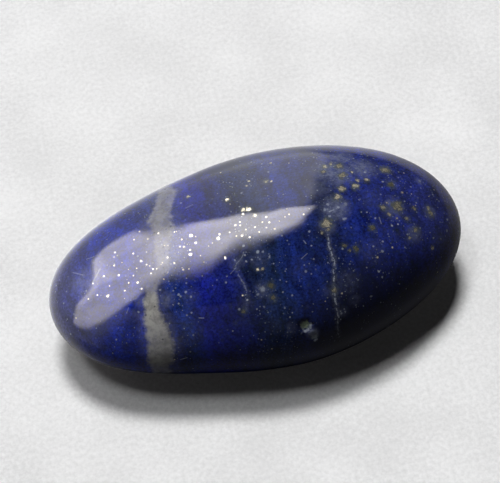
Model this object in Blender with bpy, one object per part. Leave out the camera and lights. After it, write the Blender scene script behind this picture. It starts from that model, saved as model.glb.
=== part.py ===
"""A polished, tumbled lapis lazuli pebble that lies on a small worn flat.

The stone is one solid. It starts as an ellipsoid, and a lattice pulls its outline off true:
the tail at -X swings to the front and is the slimmer end, and the head at +X is fuller at the back.
The underside is worn flat in a small patch, and one small pit is left in the front face.
Metres, +Z up. The origin is at the middle of the outline, on the surface that the stone lies on.
"""

from operator import truediv

import bmesh
import bpy
from mathutils import Vector

MM = 0.001

# The ellipsoid before its outline is pulled, and how far the resting flat is worn into it
EGG_LENGTH = 36.1 * MM
EGG_WIDTH = 21.25 * MM
EGG_HEIGHT = 14.9 * MM
FLAT_WEAR = 0.25 * MM

# Pulls at five stations along the stone, from the tail at -X to the head at +X.
# A minus sign moves the outline to the front in Y, towards the tail in X, and down in Z.
FRONT_PULLS = (-2.5 * MM, 0.7 * MM, -0.3 * MM, 0.85 * MM, 1.15 * MM)
BACK_PULLS = (-0.2 * MM, -0.45 * MM, 0.0, 0.0, 0.95 * MM)
TAIL_PULL = -3.45 * MM
HEAD_PULL = -0.9 * MM

# The crown falls away towards the tail, most of all along its front edge.
# Each station has a pull for its front edge, its ridge and its back edge.
CROWN_PULLS = (
    (-0.7 * MM, -0.45 * MM, 0.0),
    (-1.25 * MM, -0.95 * MM, -0.25 * MM),
    (-0.15 * MM, -0.2 * MM, 0.1 * MM),
    (0.0, 0.0, 0.1 * MM),
    (0.0, 0.25 * MM, 0.0),
)

# The underside is a little fuller under the tail and hollower under the head
BELLY_PULLS = (0.0, -0.2 * MM, 0.0, 0.3 * MM, 0.0)

# The pit is the bowl that a small flattened ball leaves where it sinks into the surface.
# The lean is how much the line from the stone's core out to the pit climbs per unit towards the front.
PIT_WIDTH = 1.3 * MM
PIT_DEPTH = 0.25 * MM
PIT_X = 2.65 * MM
PIT_LEAN = 0.29

FACE_CUTS = 21
PIT_SEGMENTS = 20


def clear_scene():
    for thing in list(bpy.data.objects):
        bpy.data.objects.remove(thing, do_unlink=True)


def new_collection(name):
    collection = bpy.data.collections.new(name)
    bpy.context.scene.collection.children.link(collection)
    return collection


def add_object(name, bm, collection):
    """Turns a bmesh into an object with smooth faces."""
    mesh = bpy.data.meshes.new(name)
    bm.to_mesh(mesh)
    bm.free()
    mesh.shade_smooth()
    thing = bpy.data.objects.new(name, mesh)
    collection.objects.link(thing)
    return thing


def as_helper(thing):
    thing.hide_render = True
    thing.display_type = "WIRE"
    return thing


def polished_lapis():
    """Deep ultramarine with a glassy polish."""
    material = bpy.data.materials.new("polished_lapis")
    material.use_nodes = True
    shader = material.node_tree.nodes["Principled BSDF"]
    shader.inputs["Base Color"].default_value = (0.018, 0.03, 0.22, 1.0)
    shader.inputs["Roughness"].default_value = 0.12
    shader.inputs["Metallic"].default_value = 0.0
    return material


def make_egg(collection):
    """An evenly faced ellipsoid: a cut-up cube, rounded to a ball and then stretched."""
    bm = bmesh.new()
    bmesh.ops.create_cube(bm, size=2.0)
    bmesh.ops.subdivide_edges(bm, edges=bm.edges, cuts=FACE_CUTS, use_grid_fill=True)
    for vert in bm.verts:
        vert.co.normalize()
    bmesh.ops.scale(bm, vec=Vector((EGG_LENGTH, EGG_WIDTH, EGG_HEIGHT)) / 2, verts=bm.verts)
    return add_object("lapis_stone", bm, collection)


def make_outline_lattice(collection):
    """A lattice around the egg, with each station's points moved by its pulls."""
    data = bpy.data.lattices.new("outline_pull")
    data.points_u = len(FRONT_PULLS)
    data.points_v = 3
    data.points_w = 3
    for axis in "uvw":
        setattr(data, "interpolation_type_" + axis, "KEY_BSPLINE")
    lattice = bpy.data.objects.new("outline_pull", data)
    cells = Vector((data.points_u - 1, data.points_v - 1, data.points_w - 1))
    lattice.scale = (EGG_LENGTH / cells.x, EGG_WIDTH / cells.y, EGG_HEIGHT / cells.z)
    collection.objects.link(lattice)

    for index, point in enumerate(data.points):
        station = index % data.points_u
        row = index // data.points_u % data.points_v
        layer = index // (data.points_u * data.points_v)
        pull = Vector((0.0, 0.0, 0.0))
        if row == 0:
            pull.y = FRONT_PULLS[station]
        elif row == data.points_v - 1:
            pull.y = BACK_PULLS[station]
        if layer == 0:
            pull.z = BELLY_PULLS[station]
        elif layer == data.points_w - 1:
            pull.z = CROWN_PULLS[station][row]
        if station == 0:
            pull.x = TAIL_PULL
        elif station == data.points_u - 1:
            pull.x = HEAD_PULL
        point.co_deform = point.co_deform + Vector(map(truediv, pull, lattice.scale))
    return lattice


def outline_corners(thing):
    """Lowest and highest corner of an object as its modifiers leave it."""
    bpy.context.view_layer.update()
    graph = bpy.context.evaluated_depsgraph_get()
    evaluated = thing.evaluated_get(graph)
    mesh = evaluated.to_mesh()
    points = [evaluated.matrix_world @ vert.co for vert in mesh.vertices]
    evaluated.to_mesh_clear()
    low = Vector(min(point[axis] for point in points) for axis in range(3))
    high = Vector(max(point[axis] for point in points) for axis in range(3))
    return low, high


def make_wear_slab(collection):
    """A slab whose top face is the surface that wore the resting flat."""
    bm = bmesh.new()
    bmesh.ops.create_cube(bm, size=1.0)
    size = Vector((EGG_LENGTH, EGG_WIDTH, EGG_HEIGHT / 2))
    bmesh.ops.scale(bm, vec=size, verts=bm.verts)
    bmesh.ops.translate(bm, vec=(0.0, 0.0, -size.z / 2), verts=bm.verts)
    return as_helper(add_object("wear_slab", bm, collection))


def make_pit_ball(stone, collection):
    """A flattened ball on the front face, as deep in the surface as the pit."""
    lean = Vector((0.0, -1.0, PIT_LEAN)).normalized()
    start = Vector((PIT_X, 0.0, EGG_HEIGHT / 2)) + lean * EGG_WIDTH
    bpy.context.view_layer.update()
    graph = bpy.context.evaluated_depsgraph_get()
    to_stone = stone.matrix_world.inverted()
    _, spot, normal, _ = stone.evaluated_get(graph).ray_cast(to_stone @ start, -lean)

    bm = bmesh.new()
    bmesh.ops.create_uvsphere(
        bm, u_segments=PIT_SEGMENTS, v_segments=PIT_SEGMENTS // 2, radius=PIT_WIDTH / 2
    )
    squeeze = 2 * PIT_DEPTH / PIT_WIDTH
    bmesh.ops.scale(bm, vec=(1.0, 1.0, squeeze), verts=bm.verts)
    ball = as_helper(add_object("pit_ball", bm, collection))
    ball.rotation_mode = "QUATERNION"
    ball.rotation_quaternion = normal.to_track_quat("Z", "Y")
    ball.location = stone.matrix_world @ spot
    return ball


def cut_away(stone, cutter):
    modifier = stone.modifiers.new(cutter.name, "BOOLEAN")
    modifier.operation = "DIFFERENCE"
    modifier.solver = "EXACT"
    modifier.object = cutter


def make_stone():
    collection = new_collection("lapis_lazuli_pebble")
    helpers = new_collection("lapis_lazuli_helpers")

    stone = make_egg(collection)
    lattice = make_outline_lattice(helpers)
    pull = stone.modifiers.new("outline_pull", "LATTICE")
    pull.object = lattice

    # The worn flat lies at z = 0, under the middle of the outline
    low, high = outline_corners(stone)
    middle = (low + high) / 2
    move = Vector((-middle.x, -middle.y, -low.z - FLAT_WEAR))
    stone.location = move
    lattice.location = move

    cut_away(stone, make_wear_slab(helpers))
    cut_away(stone, make_pit_ball(stone, helpers))
    stone.data.materials.append(polished_lapis())
    return stone


clear_scene()
make_stone()
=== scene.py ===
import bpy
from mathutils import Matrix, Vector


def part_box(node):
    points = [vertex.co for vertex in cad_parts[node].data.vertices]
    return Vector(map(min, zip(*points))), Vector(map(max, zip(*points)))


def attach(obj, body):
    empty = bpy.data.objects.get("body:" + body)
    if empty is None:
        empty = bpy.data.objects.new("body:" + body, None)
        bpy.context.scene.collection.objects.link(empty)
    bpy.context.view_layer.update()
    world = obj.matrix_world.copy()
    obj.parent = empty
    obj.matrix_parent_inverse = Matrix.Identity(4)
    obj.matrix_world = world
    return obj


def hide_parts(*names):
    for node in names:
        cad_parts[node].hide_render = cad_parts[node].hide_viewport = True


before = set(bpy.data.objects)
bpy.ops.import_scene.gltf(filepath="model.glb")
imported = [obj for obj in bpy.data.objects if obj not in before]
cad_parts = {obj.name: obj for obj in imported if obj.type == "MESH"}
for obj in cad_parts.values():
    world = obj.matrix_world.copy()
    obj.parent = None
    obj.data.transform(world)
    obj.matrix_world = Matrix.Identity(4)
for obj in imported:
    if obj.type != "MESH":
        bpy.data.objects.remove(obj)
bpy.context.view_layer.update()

import math
import random

import bpy
import numpy as np
from mathutils import Quaternion, Vector
from mathutils.bvhtree import BVHTree

mm = 0.001
frameWidth, frameHeight = 500, 483
nodeName = "lapis_stone"

# Camera
camera = {
    "place": (-12.8, -95.1, 163.5),  # mm
    "aim": (0.54, 6.75, 0.0),  # mm, a point on the floor
    "roll": -5.95,  # degrees, so the right side of the frame hangs low
    "lens": 145.2,
    "sensor": 36.0,
    "clip": (0.01, 10.0),  # m
}


def addCamera():
    place = Vector(camera["place"]) * mm
    forward = (Vector(camera["aim"]) * mm - place).normalized()
    turn = forward.to_track_quat("-Z", "Y") @ Quaternion((0, 0, 1), math.radians(camera["roll"]))
    data = bpy.data.cameras.new("camera")
    data.lens = camera["lens"]
    data.sensor_width = camera["sensor"]
    data.clip_start, data.clip_end = camera["clip"]
    holder = bpy.data.objects.new("camera", data)
    holder.location = place
    holder.rotation_mode = "QUATERNION"
    holder.rotation_quaternion = turn
    bpy.context.collection.objects.link(holder)
    bpy.context.scene.camera = holder
    return place, turn


cameraPlace, cameraTurn = addCamera()
print("camera placed")


def rayThrough(x, y):  # the direction from the camera through a point of the frame
    focal = camera["lens"] / camera["sensor"] * frameWidth
    ray = Vector(((x - frameWidth / 2) / focal, (frameHeight / 2 - y) / focal, -1.0))
    return (cameraTurn @ ray).normalized()


# Stone: a ball drawn out to an egg, pulled off true by a lattice and worn flat underneath
stone = {
    "egg": (36.1, 21.25, 14.9),  # mm
    "cuts": 99,
    "frontPulls": (-2.5, 0.7, -0.3, 0.85, 1.15),  # mm in Y, from the tail to the head
    "backPulls": (-0.2, -0.45, 0.0, 0.0, 0.95),
    "tailPull": -3.45,  # mm in X
    "headPull": -0.9,
    "crownPulls": (
        (-0.7, -0.45, 0.0),  # mm in Z: front edge, ridge, back edge
        (-1.25, -0.95, -0.25),
        (-0.15, -0.2, 0.1),
        (0.0, 0.0, 0.1),
        (0.0, 0.25, 0.0),
    ),
    "bellyPulls": (0.0, -0.2, 0.0, 0.3, 0.0),
    "finePatch": {"middle": (0.163, 0.445), "reach": (0.1, 0.22), "cuts": 2},  # of the cube's front
}


def deselectAll():
    if bpy.context.object and bpy.context.object.mode != "OBJECT":
        bpy.ops.object.mode_set(mode="OBJECT")
    bpy.ops.object.select_all(action="DESELECT")


def makeActive(piece):
    deselectAll()
    piece.select_set(True)
    bpy.context.view_layer.objects.active = piece


def readPoints(mesh):
    values = np.empty(len(mesh.vertices) * 3)
    mesh.vertices.foreach_get("co", values)
    return values.reshape(-1, 3)


def selectPoints(piece, chosen):  # leaves the piece in edit mode
    bpy.ops.object.mode_set(mode="EDIT")
    bpy.ops.mesh.select_all(action="DESELECT")
    bpy.ops.object.mode_set(mode="OBJECT")
    piece.data.vertices.foreach_set("select", chosen)
    bpy.ops.object.mode_set(mode="EDIT")
    bpy.ops.mesh.select_mode(type="VERT")


def addLattice(size):
    deselectAll()
    bpy.ops.object.add(type="LATTICE")
    cage = bpy.context.object
    data = cage.data
    data.points_u, data.points_v, data.points_w = len(stone["frontPulls"]), 3, 3
    for axis in "uvw":
        setattr(data, "interpolation_type_" + axis, "KEY_BSPLINE")
    reach = data.points[-1].co_deform - data.points[0].co_deform
    cage.scale = [size[axis] / reach[axis] for axis in range(3)]
    for index, point in enumerate(data.points):
        station = index % data.points_u
        row = index // data.points_u % 3
        layer = index // (data.points_u * 3)
        pull = Vector((0.0, 0.0, 0.0))
        if row == 0:
            pull.y = stone["frontPulls"][station]
        elif row == 2:
            pull.y = stone["backPulls"][station]
        if layer == 0:
            pull.z = stone["bellyPulls"][station]
        elif layer == 2:
            pull.z = stone["crownPulls"][station][row]
        if station == 0:
            pull.x = stone["tailPull"]
        elif station == data.points_u - 1:
            pull.x = stone["headPull"]
        point.co_deform += Vector(pull[axis] * mm / cage.scale[axis] for axis in range(3))
    return cage


def middleOf(spots):
    return Vector((spots.min(axis=0) + spots.max(axis=0)) / 2)


def addStone():
    deselectAll()
    bpy.ops.mesh.primitive_cube_add(size=2 * mm)
    piece = bpy.context.object
    piece.name = piece.data.name = "lapisPebble"
    size = Vector(stone["egg"]) * mm

    # An even skin, finer where the pit will be
    bpy.ops.object.mode_set(mode="EDIT")
    bpy.ops.mesh.select_all(action="SELECT")
    bpy.ops.mesh.subdivide(number_cuts=stone["cuts"])
    bpy.ops.object.mode_set(mode="OBJECT")
    patch = stone["finePatch"]
    spots = readPoints(piece.data) / mm
    aside = np.abs(spots[:, [0, 2]] - patch["middle"]) < patch["reach"]
    selectPoints(piece, aside.all(axis=1) & (spots[:, 1] < -0.99))  # the cube's front is at -1
    bpy.ops.mesh.subdivide(number_cuts=patch["cuts"], ngon=False)
    bpy.ops.mesh.select_all(action="SELECT")
    bpy.ops.transform.tosphere(value=1.0)
    bpy.ops.object.mode_set(mode="OBJECT")
    ball = readPoints(piece.data)
    bpy.ops.object.mode_set(mode="EDIT")
    bpy.ops.transform.translate(value=-middleOf(ball))
    bpy.ops.transform.resize(value=size / np.ptp(ball, axis=0).mean(), center_override=(0, 0, 0))
    bpy.ops.object.mode_set(mode="OBJECT")

    cage = addLattice(size)
    makeActive(piece)
    pull = piece.modifiers.new("pull", "LATTICE")
    pull.object = cage
    bpy.ops.object.modifier_apply(modifier=pull.name)
    bpy.data.objects.remove(cage, do_unlink=True)

    # Set it where the frame has it, then press the underside onto the floor
    low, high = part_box(nodeName)
    spots = readPoints(piece.data)
    move = (low + high) / 2 - middleOf(spots)
    move.z = high.z - spots[:, 2].max()
    bpy.ops.object.mode_set(mode="EDIT")
    bpy.ops.mesh.select_all(action="SELECT")
    bpy.ops.transform.translate(value=move)
    bpy.ops.object.mode_set(mode="OBJECT")
    selectPoints(piece, readPoints(piece.data)[:, 2] < 0)
    bpy.ops.transform.resize(value=(1, 1, 0), center_override=(0, 0, 0))
    bpy.ops.object.mode_set(mode="OBJECT")
    bpy.ops.object.shade_smooth()
    return piece


pebble = addStone()
print("stone shaped", len(pebble.data.polygons), "faces")


def skinOf(piece):
    bpy.context.view_layer.update()
    return BVHTree.FromObject(piece, bpy.context.evaluated_depsgraph_get())


def spotAt(skin, x, y):  # where a point of the frame falls on the stone, in mm
    place = skin.ray_cast(cameraPlace, rayThrough(x, y))[0]
    return np.array(place) / mm


# Wear: the pit with its chipped tail, a shallow dent at the tail end, and a tumbled surface's waves
wear = {
    "pit": {"at": (305.5, 325.5), "reach": 0.62, "depth": 0.25, "power": 0.55},  # mm
    "chip": {"at": (314.6, 336.5), "reach": 0.34, "depth": 0.08, "power": 0.7},
    "tailDent": {"at": (80.0, 283.0), "reach": 2.3, "depth": 0.07, "power": 2.0},
    "waves": {"size": 6.0, "height": 0.1, "fadeFrom": 0.4, "fadeTo": 2.5},  # mm
    "uneven": {"share": 0.16, "turns": (7.1, 4.3, 5.7), "start": 0.6},  # a break's edge, in radians per mm
    "markReach": 1.6,  # the value saved for the colours at its middle, down by 1 for each reach away
    "leastWeight": 0.001,  # below it the skin is left alone
}


def applyDisplace(piece, name, weights, strength, texture=None):
    group = piece.vertex_groups.new(name=name)
    for index in np.flatnonzero(weights > wear["leastWeight"]):
        group.add([int(index)], float(weights[index]), "REPLACE")
    press = piece.modifiers.new(name, "DISPLACE")
    press.vertex_group = name
    press.strength = strength * mm
    press.mid_level = 0.5 if texture else 0.0
    press.texture = texture
    makeActive(piece)
    bpy.ops.object.modifier_apply(modifier=name)
    piece.vertex_groups.clear()


def saveValues(piece, name, domain, values):
    values = np.asarray(values, dtype=np.float32)
    vector = values.ndim == 2
    layer = piece.data.attributes.new(name, "FLOAT_VECTOR" if vector else "FLOAT", domain)
    layer.data.foreach_set("vector" if vector else "value", values.ravel())


def addWear(piece):
    waves, uneven = wear["waves"], wear["uneven"]
    height = readPoints(piece.data)[:, 2] / mm
    share = np.clip((height - waves["fadeFrom"]) / (waves["fadeTo"] - waves["fadeFrom"]), 0, 1)
    texture = bpy.data.textures.new("waves", "CLOUDS")
    texture.noise_scale = waves["size"] * mm
    texture.noise_depth = 1
    applyDisplace(piece, "waves", share, waves["height"], texture)

    skin = skinOf(piece)
    spots = readPoints(piece.data) / mm
    for name in ("tailDent", "pit", "chip"):
        dent = wear[name]
        away = np.linalg.norm(spots - spotAt(skin, *dent["at"]), axis=1) / dent["reach"]
        if name != "tailDent":  # a break isn't round
            x, y, z = (spots * uneven["turns"]).T
            away = away * (1 + uneven["share"] * np.sin(x + uneven["start"]) * np.cos(z + y))
        weights = np.clip(1 - away**2, 0, 1) ** dent["power"]
        saveValues(piece, name, "POINT", np.maximum(wear["markReach"] - away, 0))
        applyDisplace(piece, name, weights, -dent["depth"])


addWear(pebble)
print("wear pressed in")

# Veins: each is a sheet through the stone, so its edges run right round the long axis
veins = {
    "axisHeight": 7.2,  # mm
    "broad": (  # frame y, the x of its left and right edge, and how thick
        (190, 158, 176, 0.48), (202, 156, 174, 0.54), (213, 151, 171, 0.54), (222, 147, 173, 0.46),
        (229, 150, 174, 0.5), (238, 153, 171, 0.37), (247, 154, 168, 0.35), (256, 155, 170, 0.42),
        (265, 157, 172, 0.4), (272, 154, 167, 0.28), (280, 149, 160, 0.2), (287, 145, 157, 0.45),
        (294, 144.5, 157, 0.88), (303, 144, 159, 1.0), (311, 144, 161, 1.0), (322, 144.5, 165, 0.95),
        (331, 146, 169, 0.88), (341, 148, 173, 0.85), (352, 147, 174, 0.9), (362, 147, 173, 1.0),
    ),
    "broadHidden": (  # degrees round the axis, the X of its edges in mm, and how thick
        (-60, -11.3, -8.7, 0.6), (-90, -10.6, -8.9, 0.6), (-120, -10.9, -9.3, 0.6),
        (-150, -11.6, -9.6, 0.7), (180, -11.4, -9.7, 0.6),
    ),
    "thread": (  # frame y, x, half its width in mm
        (228, 326.5, 0.0), (237, 328.3, 0.05), (247, 329.3, 0.06), (252, 331.3, 0.05), (259, 333.7, 0.11),
        (264, 334.2, 0.09), (271, 333.7, 0.06), (278, 334.2, 0.07), (285, 334.0, 0.05), (290, 334.6, 0.09),
        (300, 335.7, 0.08), (307, 336.7, 0.06), (317, 337.2, 0.06), (327, 337.8, 0.03), (338, 338.5, 0.0),
    ),
    "faint": (
        (250, 244.0, 0.0), (256, 242.5, 0.05), (262, 238.5, 0.06), (267, 235.5, 0.1), (272, 238.0, 0.04),
        (281, 242.2, 0.06), (288, 245.5, 0.07), (292, 246.6, 0.07), (300, 247.3, 0.05), (312, 245.0, 0.0),
    ),
}


def turnOf(spots):  # degrees round the long axis, 0 at the back and 90 on top
    return np.degrees(np.arctan2(spots[..., 2] - veins["axisHeight"], spots[..., 1]))


def addVeins(piece):
    skin = skinOf(piece)
    spots = readPoints(piece.data) / mm
    turn = turnOf(spots)
    edges = []
    for side in (1, 2):
        found = [spotAt(skin, row[side], row[0]) for row in veins["broad"]]
        angles = [turnOf(spot) for spot in found] + [row[0] for row in veins["broadHidden"]]
        places = [spot[0] for spot in found] + [row[side] for row in veins["broadHidden"]]
        edges.append(np.interp(turn, angles, places, period=360))
    saveValues(piece, "broadVein", "POINT", np.minimum(spots[:, 0] - edges[0], edges[1] - spots[:, 0]))
    thick = [row[3] for row in veins["broad"] + veins["broadHidden"]]
    saveValues(piece, "broadThick", "POINT", np.interp(turn, angles, thick, period=360))
    for name in ("thread", "faint"):
        found = [spotAt(skin, row[1], row[0]) for row in veins[name]]
        angles = np.array([turnOf(spot) for spot in found])
        order = np.argsort(angles)
        places = np.array([spot[0] for spot in found])[order]
        widths = np.array([row[2] for row in veins[name]])[order]
        across = spots[:, 0] - np.interp(turn, angles[order], places)
        saveValues(piece, name + "Across", "POINT", across)
        widths = np.interp(turn, angles[order], widths, left=-1, right=-1)
        saveValues(piece, name + "Width", "POINT", widths)


addVeins(pebble)
print("veins laid in")

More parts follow.
